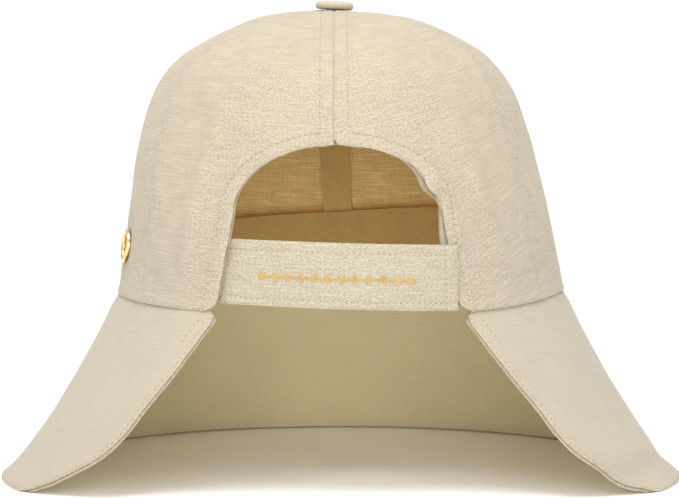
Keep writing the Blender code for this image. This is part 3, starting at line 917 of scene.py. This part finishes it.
def add_tape(name, seam, start_height):
    piece, across, up = add_grid(name, (10, 70))
    start = float(rise_at((start_height - BRIM_LINE) / (CROWN_TOP - BRIM_LINE)))
    end = float(rise_at(TAPE_TOP))
    rise = start + up * (end - start)
    offset = (2 * across - 1) * TAPE_HALF_WIDTH
    azimuth = seam + offset / per_degree(np.full_like(rise, seam), rise)
    stand = INNER_FACE + 0.1 * MM + 0.2 * MM * waves(crown_point(azimuth, rise), 9 * MM, 2.9)
    lay(piece, inner_point(azimuth, rise, stand), np.stack((offset, up * CROWN_LENGTHS[-1]), -1))
    make_wall(piece, 0.8 * MM)
    return finish(piece, TAPE, "seam_tape", name)


def add_facing():
    """The strip behind the opening's edge; it peeps out a little low on the right."""
    piece, across, up = add_grid("arch_binding", (220, 10))
    peep = 2.1 * MM * hump(across - 0.885, 0.06) + 1.3 * MM * hump(across - 0.70, 0.05)
    inner = -peep + 0.3 * MM
    share = 0.03 + 0.94 * across
    x, z = arch_outline(share, away=inner + up * (BINDING_WIDTH - 0.3 * MM), sag=SAG * (1 - up))
    points = back_layer(x, z, np.full_like(x, -INNER_FACE - 0.1 * MM))
    lay(piece, points, np.stack((across * 0.2, up * BINDING_WIDTH), -1))
    make_wall(piece, 0.9 * MM)
    return finish(piece, CROWN_LINEN, "crown_linen", "arch_binding")


add_sweatband()
SIDE_TAPES = {
    "seam_tape_back_right": -120.0,
    "seam_tape_front_right": -60.0,
    "seam_tape_front": 0.0,
    "seam_tape_front_left": 60.0,
    "seam_tape_back_left": 120.0,
}
for tape_name, seam_azimuth in SIDE_TAPES.items():
    add_tape(tape_name, seam_azimuth, SWEATBAND_TOP - 4 * MM)
add_tape("seam_tape_back", 180.0, ARCH_TOP + BINDING_WIDTH + 2 * MM)
add_facing()

# %% [markdown]
# ## The strap and its hidden tab
#
# The strap comes out from under the left edge of the opening, crosses it, and lies over the right edge,
# where hook and loop hold it. It is a folded strip, so its long edges are soft folds.

# %% Strap and tab
STRAP_WIDTH = 25 * MM
STRAP_WALL = 2 * MM
STRAP_SLOPE = 0.025
STRAP_START = ARCH_SHIFT + ARCH_FOOT_HALF_WIDTH + 6 * MM
STRAP_END = ARCH_SHIFT - ARCH_HALF_WIDTH - 4.8 * MM
TAB_START = ARCH_SHIFT - ARCH_FOOT_HALF_WIDTH - 6 * MM
TAB_EMERGES = ARCH_SHIFT - ARCH_HALF_WIDTH
TAB_REACH = 28 * MM
UNDER_BINDING = 3.1 * MM
STRAP_OUTSIDE = STRAP_WALL + 0.5 * MM
STITCH_FROM_TOP = 4 * MM
STITCH_FROM_FOOT = 2.8 * MM
STITCH_FROM_END = 4.6 * MM


def strap_middle(x):
    return FOOT_BACK + 1.8 * MM + STRAP_WIDTH / 2 + STRAP_SLOPE * x


def strap_outward(x):
    """How far the strap's outer face stands outside the crown."""
    across = (ARCH_HALF_WIDTH - x) / (2 * ARCH_HALF_WIDTH - 6 * MM)
    return -UNDER_BINDING + ease(across) * (UNDER_BINDING + STRAP_OUTSIDE)


def strap_point(x, up, outward=0.0):
    """A point on the strap: up from its foot, in metres, on its outer face."""
    z = strap_middle(x) - STRAP_WIDTH / 2 + up
    at = back_layer(x, z, np.zeros_like(x))
    edge = np.minimum(np.minimum(up, STRAP_WIDTH - up), x - STRAP_END)
    stand = strap_outward(x) + outward + 0.35 * MM * waves(at, 14 * MM, 4.1)
    stand = stand - 0.45 * MM * hump(edge, 0.8 * MM)
    for row in (up - STITCH_FROM_FOOT, STRAP_WIDTH - STITCH_FROM_TOP - up, x - STRAP_END - STITCH_FROM_END):
        stand = stand - 0.3 * MM * hump(row, 0.6 * MM)
    stand = stand + 0.18 * MM * waves(at, 4 * MM, 7.7)
    return back_layer(x, z, stand)


def add_strap():
    piece, across, up = add_grid("closure_strap", (170, 44))
    x = STRAP_START + gather(across, 0.3) * (STRAP_END - STRAP_START)
    level = gather(up, 0.5) * STRAP_WIDTH
    lay(piece, strap_point(x, level), np.stack((-x, level), -1), np.full_like(x, 0.9))
    make_wall(piece, STRAP_WALL, 0.35 * MM)
    return finish(piece, STRAP_LINEN, "strap_linen", "closure_strap")


def add_tab():
    piece, across, up = add_grid("closure_tab", (50, 14))
    x = TAB_EMERGES + TAB_REACH + across * (TAB_START - TAB_EMERGES - TAB_REACH)
    against = strap_outward(x) - STRAP_WALL - 0.9 * MM
    stand = -UNDER_BINDING + ease((x - TAB_EMERGES) / (TAB_REACH * 0.7)) * (UNDER_BINDING + against)
    z = strap_middle(x) + (up - 0.5) * 21 * MM
    lay(piece, back_layer(x, z, stand), np.stack((-x, up * 21 * MM), -1))
    make_wall(piece, 1.3 * MM)
    return finish(piece, HOOK_TAPE, "hook_tape", "closure_tab")


add_strap()
add_tab()

# %% [markdown]
# ## Stitches
#
# A stitch is a short pillow of thread, sunk a little in its groove. One is modelled from a small sphere,
# and a copy is stamped for each stitch of a row, stretched from one needle hole to the next. Where a
# row shows, a smaller dark copy fills the hole between two stitches as painted shade. The threads of a
# piece of work are one mesh, and the painted shade of its holes is another.

# %% One stitch, and rows of it
STITCH_LENGTH = 1.7 * MM
STITCH_GAP = 0.6 * MM
THREAD_WIDTH = 0.45 * MM
HOLE_SHADE_WIDTH = 0.75 * THREAD_WIDTH


def model_stitch():
    """A six-sided pillow, one unit long, as vertices and faces."""
    deselect()
    bpy.ops.mesh.primitive_uv_sphere_add(segments=6, ring_count=5, radius=0.5)
    made = bpy.context.object
    face_outward()
    points = np.array([vertex.co for vertex in made.data.vertices])
    faces = [tuple(face.vertices) for face in made.data.polygons]
    bpy.data.objects.remove(made)
    return points, faces


STITCH_POINTS, STITCH_FACES = model_stitch()


def sew(name, material, slot, starts, ends, outs, width=THREAD_WIDTH):
    """Stamps a stitch from each start to each end; outs are the directions away from the cloth."""
    along = ends - starts
    side = np.cross(outs, along)
    side = side / np.linalg.norm(side, axis=1, keepdims=True)
    out = np.cross(along, side)
    out = out / np.linalg.norm(out, axis=1, keepdims=True)
    middle = (starts + ends) / 2
    points = (
        middle[:, None, :]
        + STITCH_POINTS[None, :, 2:3] * along[:, None, :]
        + STITCH_POINTS[None, :, 0:1] * side[:, None, :] * width
        + STITCH_POINTS[None, :, 1:2] * out[:, None, :] * width
    )
    count = len(STITCH_POINTS)
    faces = [
        tuple(corner + count * index for corner in face)
        for index in range(len(starts)) for face in STITCH_FACES
    ]
    piece = new_piece(name, points.reshape(-1, 3).tolist(), [], faces)
    face_outward()
    return finish(piece, material, slot)


def row(surface, first, last, count=400, length=STITCH_LENGTH):
    """Needle holes along a line on a surface: surface(share, outward), with share from first to last."""
    shares = np.linspace(first, last, count)
    line = surface(shares, np.zeros(count))
    away = surface(shares, np.full(count, 1 * MM)) - line
    travel = np.concatenate(([0], np.cumsum(np.linalg.norm(np.diff(line, axis=0), axis=1))))
    pitch = length + STITCH_GAP
    number = max(int(travel[-1] / pitch), 1)
    begin = (np.arange(number) + 0.5 * STITCH_GAP / pitch) * travel[-1] / number
    finish_at = begin + travel[-1] / number * length / pitch

    def read(values, places):
        return np.stack([np.interp(places, travel, values[:, axis]) for axis in range(3)], -1)

    return read(line, begin), read(line, finish_at), read(away, (begin + finish_at) / 2)


def sew_rows(name, material, slot, rows, holes=True):
    """Sews rows of stitches, with painted shade, a small dark copy, in the needle hole between every two
    stitches where it shows.
    """
    starts, ends, outs = (np.concatenate(part) for part in zip(*rows))
    sew(name, material, slot, starts, ends, outs)
    if not holes:
        return
    # Painted shade in each needle hole between two stitches.
    gaps = [(ends[:-1], starts[1:], outs[1:]) for starts, ends, outs in rows]
    starts, ends, outs = (np.concatenate(part) for part in zip(*gaps))
    sew(name + "_holes", HOLE_SHADE, slot, starts, ends, outs, HOLE_SHADE_WIDTH)


# %% [markdown]
# ### Where the rows run
#
# Every seam has a row on both sides, the arch has one round its edge, and the brim has one along its
# edge. The strap has a row near each long edge and one across its end.

# %% Topstitching
def seam_row(seam, side, start_rise, end_rise):
    def surface(rise, outward):
        azimuth = seam + side * SEAM_STITCH / per_degree(np.full_like(rise, seam), rise)
        return crown_cloth(azimuth, rise, outward)
    return row(surface, start_rise, end_rise)


def arch_row(share, outward):
    away = ARCH_STITCH - 2.0 * MM * hump(share - 0.86, 0.1)
    azimuth, rise = crown_place(*arch_outline(share, away=away))
    return crown_cloth(azimuth, rise, outward)


arch_rise = float(rise_at((ARCH_TOP - FOOT_BACK) / (CROWN_TOP - FOOT_BACK)))
crown_rows = [
    seam_row(seam, side, 0.02, 0.955) for seam in (-60, 0, 60) for side in (-1, 1)
]
crown_rows += [seam_row(180, side, arch_rise + 0.04, 0.955) for side in (-1, 1)]
crown_rows.append(row(arch_row, 0.02, 0.98, 900))
sew_rows("crown_stitches", THREAD, "crown_linen", crown_rows)
side_rows = [seam_row(seam, side, 0.02, 0.955) for seam in (-120, 120) for side in (-1, 1)]
sew_rows("crown_side_stitches", THREAD, "crown_linen", side_rows, holes=False)


def brim_end_row(side, inset):
    def surface(down, outward):
        half = np.interp(down, LEVELS, BRIM_HALF_LENGTHS)
        return brim_cloth(side * (1 - inset / half), down, outward)
    return surface


def brim_hem_row(inset, under=False):
    level = float(np.interp(BRIM_DEPTHS[-1] - inset, BRIM_DEPTHS, LEVELS))

    def surface(along, outward):
        below = -(2 * BRIM_LAYER + 0.3 * MM) if under else 0.0
        return brim_cloth(along, np.full_like(along, level), (below - outward) if under else outward)
    return surface


hem_level = float(np.interp(BRIM_DEPTHS[-1] - BRIM_EDGE_STITCH, BRIM_DEPTHS, LEVELS))
brim_rows = [row(brim_end_row(side, BRIM_EDGE_STITCH), 0.02, hem_level) for side in (-1, 1)]
brim_rows += [row(brim_end_row(side, 6.5 * MM), 0.03, 0.17) for side in (-1, 1)]
brim_rows.append(row(brim_hem_row(BRIM_EDGE_STITCH), -0.99, 0.99, 1600))
brim_rows.append(row(brim_hem_row(4.4 * MM, under=True), -0.985, 0.985, 1600))
sew_rows("brim_stitches", THREAD, "brim_linen", brim_rows)


def strap_row(level):
    def surface(x, outward):
        return strap_point(x, np.full_like(x, level), outward)
    return surface


def strap_end_row(up, outward):
    return strap_point(np.full_like(up, STRAP_END + STITCH_FROM_END), up, outward)


strap_rows = [
    row(strap_row(STITCH_FROM_FOOT), STRAP_START - 8 * MM, STRAP_END + STITCH_FROM_END),
    row(strap_row(STRAP_WIDTH - STITCH_FROM_TOP), STRAP_START - 8 * MM, STRAP_END + STITCH_FROM_END),
    row(strap_end_row, STITCH_FROM_FOOT, STRAP_WIDTH - STITCH_FROM_TOP),
]
sew_rows("strap_stitches", THREAD, "strap_linen", strap_rows)

# %% [markdown]
# ### A plain woven ornament on the strap
#
# A row of small lozenges in gold thread runs along the middle of the strap. Each is satin stitch: a few
# threads side by side, long in the middle and short at the tips, with a short bar between two lozenges.

# %% Lozenges in satin stitch
ORNAMENT_START = 31 * MM
ORNAMENT_END = -26 * MM
ORNAMENT_LEVEL = 11.3 * MM
LOZENGES = 12
LOZENGE_HALF_WIDTH = 2.3 * MM
LOZENGE_HALF_HEIGHT = 2.5 * MM
SATIN_STEP = 0.48 * MM


def satin():
    """Start and end (x, up) of each thread of the ornament."""
    threads = []
    middles = np.linspace(ORNAMENT_START, ORNAMENT_END, LOZENGES)
    for middle in middles:
        steps = int(LOZENGE_HALF_WIDTH / SATIN_STEP)
        for step in range(-steps, steps + 1):
            x = middle + step * SATIN_STEP
            reach = LOZENGE_HALF_HEIGHT * (1 - abs(step) / (steps + 1))
            threads.append(((x, ORNAMENT_LEVEL - reach), (x, ORNAMENT_LEVEL + reach)))
    for middle in (middles[:-1] + middles[1:]) / 2:
        for level in (-0.35 * MM, 0.35 * MM):
            bar = ORNAMENT_LEVEL + level
            threads.append(((middle - 0.5 * MM, bar), (middle + 0.5 * MM, bar)))
    return np.array(threads)


threads = satin()
low = strap_point(threads[:, 0, 0], threads[:, 0, 1], 0.05 * MM)
high = strap_point(threads[:, 1, 0], threads[:, 1, 1], 0.05 * MM)
lifted = strap_point(threads[:, 0, 0], threads[:, 0, 1], 1 * MM) - low
sew("strap_ornament", GOLD_THREAD, "strap_linen", low, high, lifted, 0.42 * MM)

# %% [markdown]
# ## The covered button
#
# A metal button is covered with a round of linen, which is gathered underneath. It is turned from a low
# profile with a nearly flat top by spin, and small pleats are pressed into its rim.

# %% Button
BUTTON_RADIUS = 7.7 * MM
BUTTON_HEIGHT = 3.6 * MM
BUTTON_TILT = 3.0
BUTTON_PROFILE = (
    # radius and height, as shares of the button's own
    (0.00, 1.00), (0.40, 0.985), (0.68, 0.94), (0.84, 0.87), (0.94, 0.75), (0.99, 0.58),
    (1.00, 0.35), (0.97, 0.14), (0.90, 0.02), (0.80, 0.00), (0.50, 0.00),
)
BUTTON_SHANK = ((3.5, 0.0), (3.5, -1.9), (5.5, -1.9), (5.5, -2.9), (0.0, -2.9))


def spin_profile(name, profile, steps):
    """Turns a profile of (radius, height) points round Z by the spin operator and closes it."""
    points = [(radius, 0, height) for radius, height in profile]
    piece = new_piece(name, points, [(index, index + 1) for index in range(len(points) - 1)], [])

    def turn():
        bpy.ops.mesh.spin(steps=steps, angle=2 * math.pi, center=(0, 0, 0), axis=(0, 0, 1))
        bpy.ops.mesh.select_all(action="SELECT")
        bpy.ops.mesh.remove_doubles(threshold=0.00001)

    face_outward(turn)
    return piece


def add_button():
    gap = 0.7 * MM
    profile = [(radius * BUTTON_RADIUS, gap + height * BUTTON_HEIGHT) for radius, height in BUTTON_PROFILE]
    profile += [(radius * MM, gap + height * MM) for radius, height in BUTTON_SHANK]
    piece = spin_profile("button", profile, 72)
    tilt = Matrix.Rotation(math.radians(-BUTTON_TILT), 4, "Y")
    place = Matrix.Translation((lean(1.0), CENTRE_Y, CROWN_TOP)) @ tilt
    for vertex in piece.data.vertices:
        angle = math.atan2(vertex.co.y, vertex.co.x)
        radius = math.hypot(vertex.co.x, vertex.co.y) / BUTTON_RADIUS
        pleat = 0.14 * MM * math.sin(angle * 17) * float(ease((radius - 0.6) / 0.35))
        vertex.co = vertex.co * (1 + pleat / BUTTON_RADIUS)
    grain = piece.data.uv_layers.new(name="grain")
    for corner, loop in zip(grain.uv, piece.data.loops):
        corner.vector = piece.data.vertices[loop.vertex_index].co.xy
    piece.data.transform(place)
    return finish(piece, BUTTON_LINEN, "crown_linen", "button")


add_button()

# %% [markdown]
# ## The brass eyelet
#
# A rolled ring of brass sits low on the wearer's left. Its profile is an arc that rolls over the cloth,
# goes through the hole and flares again inside, turned round by spin. The same hole is cut in the cloth.

# %% Eyelet
EYELET_AZIMUTH = 103.0
EYELET_HEIGHT = 20 * MM
EYELET_HOLE = 5.1 * MM
EYELET_RADIUS = 7.0 * MM
EYELET_ROLL = 1.2 * MM
HOLE_CLEARANCE = 0.15 * MM
CUTTER_DEPTH = 12 * MM


def pierce(cloth, place, radius):
    """Cuts a round hole through the cloth."""
    deselect()
    bpy.ops.mesh.primitive_cylinder_add(vertices=48, radius=radius, depth=CUTTER_DEPTH)
    cutter = bpy.context.object
    cutter.data.transform(place)
    cut = cloth.modifiers.new("hole", "BOOLEAN")
    cut.operation = "DIFFERENCE"
    cut.object = cutter
    apply_all(cloth)
    bpy.data.objects.remove(cutter)


def add_eyelet():
    middle = (EYELET_HOLE + EYELET_RADIUS) / 2
    half = (EYELET_RADIUS - EYELET_HOLE) / 2
    seat = 0.35 * MM
    profile = [
        (middle - half * math.cos(angle), seat + EYELET_ROLL * math.sin(angle))
        for angle in np.linspace(0, math.pi, 15)
    ]
    back = -(LINEN + 1.1 * MM)
    barrel = EYELET_HOLE + 0.6 * MM
    profile += [(EYELET_RADIUS - 0.3 * MM, seat), (barrel, seat), (barrel, back + 0.5 * MM)]
    profile += [(6.4 * MM, back + 0.5 * MM), (6.4 * MM, back), (EYELET_HOLE, back), (EYELET_HOLE, seat)]
    piece = spin_profile("eyelet", profile, 64)
    foot = float(brim_line(EYELET_AZIMUTH))
    rise = rise_at(EYELET_HEIGHT / (CROWN_TOP - foot))
    azimuth = np.array(EYELET_AZIMUTH)
    at = Vector(crown_point(azimuth, rise))
    out = Vector(crown_facing(azimuth, rise))
    place = Matrix.Translation(at) @ out.to_track_quat("Z", "Y").to_matrix().to_4x4()
    piece.data.transform(place)
    pierce(side_left, place, barrel + HOLE_CLEARANCE)
    return finish(piece, BRASS, "brass", "eyelet")


add_eyelet()

# %% [markdown]
# ## Floor, light and camera
#
# A pale floor, a white sky and two large soft lights, one above and one behind the camera, as in a
# product studio. The camera stands behind the bonnet, just above the floor, with a long lens as in the
# photograph.

# %% Stage
FLOOR_HALF = 6.0
AIM = Vector((0.0006, CENTRE_Y, 0.0924))
CAMERA_DISTANCE = 1.1
CAMERA_ELEVATION = math.radians(2.6)
LENS = 140.6
SKY = 1.08
TOP_LIGHT = (0.1, 0.5, 1.5)
BACK_LIGHT = (0.0, 2.2, 0.45)


def add_floor():
    deselect()
    bpy.ops.mesh.primitive_plane_add(size=2 * FLOOR_HALF)
    piece = bpy.context.object
    piece.name = "floor"
    made, at = new_material("pale_floor")
    speckle = noise_along(at, at, (0.4, 0.4, 0.4))
    colour = mix(at, speckle, (0.945, 0.945, 0.945), (0.96, 0.96, 0.96))
    body = at.node("ShaderNodeBsdfPrincipled", None, {"Base Color": colour, "Roughness": 0.95})
    piece.data.materials.append(show(made, at, body))


def add_light(name, place, size, power):
    light = bpy.data.lights.new(name, "AREA")
    light.shape = "DISK"
    light.size = size
    light.energy = power
    made = bpy.data.objects.new(name, light)
    bpy.context.scene.collection.objects.link(made)
    made.location = place
    made.rotation_euler = (AIM - Vector(place)).to_track_quat("-Z", "Y").to_euler()


def add_camera():
    camera = bpy.data.cameras.new("camera")
    camera.lens = LENS
    camera.sensor_width = 36
    camera.clip_start = 0.01
    made = bpy.data.objects.new("camera", camera)
    bpy.context.scene.collection.objects.link(made)
    direction = Vector((0, math.cos(CAMERA_ELEVATION), math.sin(CAMERA_ELEVATION)))
    made.location = AIM + direction * CAMERA_DISTANCE
    made.rotation_euler = (-direction).to_track_quat("-Z", "Y").to_euler()
    bpy.context.scene.camera = made


add_floor()
world = bpy.data.worlds.new("white_sky")
world.use_nodes = True
world.node_tree.nodes["Background"].inputs["Color"].default_value = (1, 1, 1, 1)
world.node_tree.nodes["Background"].inputs["Strength"].default_value = SKY
bpy.context.scene.world = world
bpy.context.scene.view_settings.view_transform = "Standard"
add_light("top_light", TOP_LIGHT, 1.2, 25.0)
add_light("back_light", BACK_LIGHT, 1.4, 32.0)
add_camera()
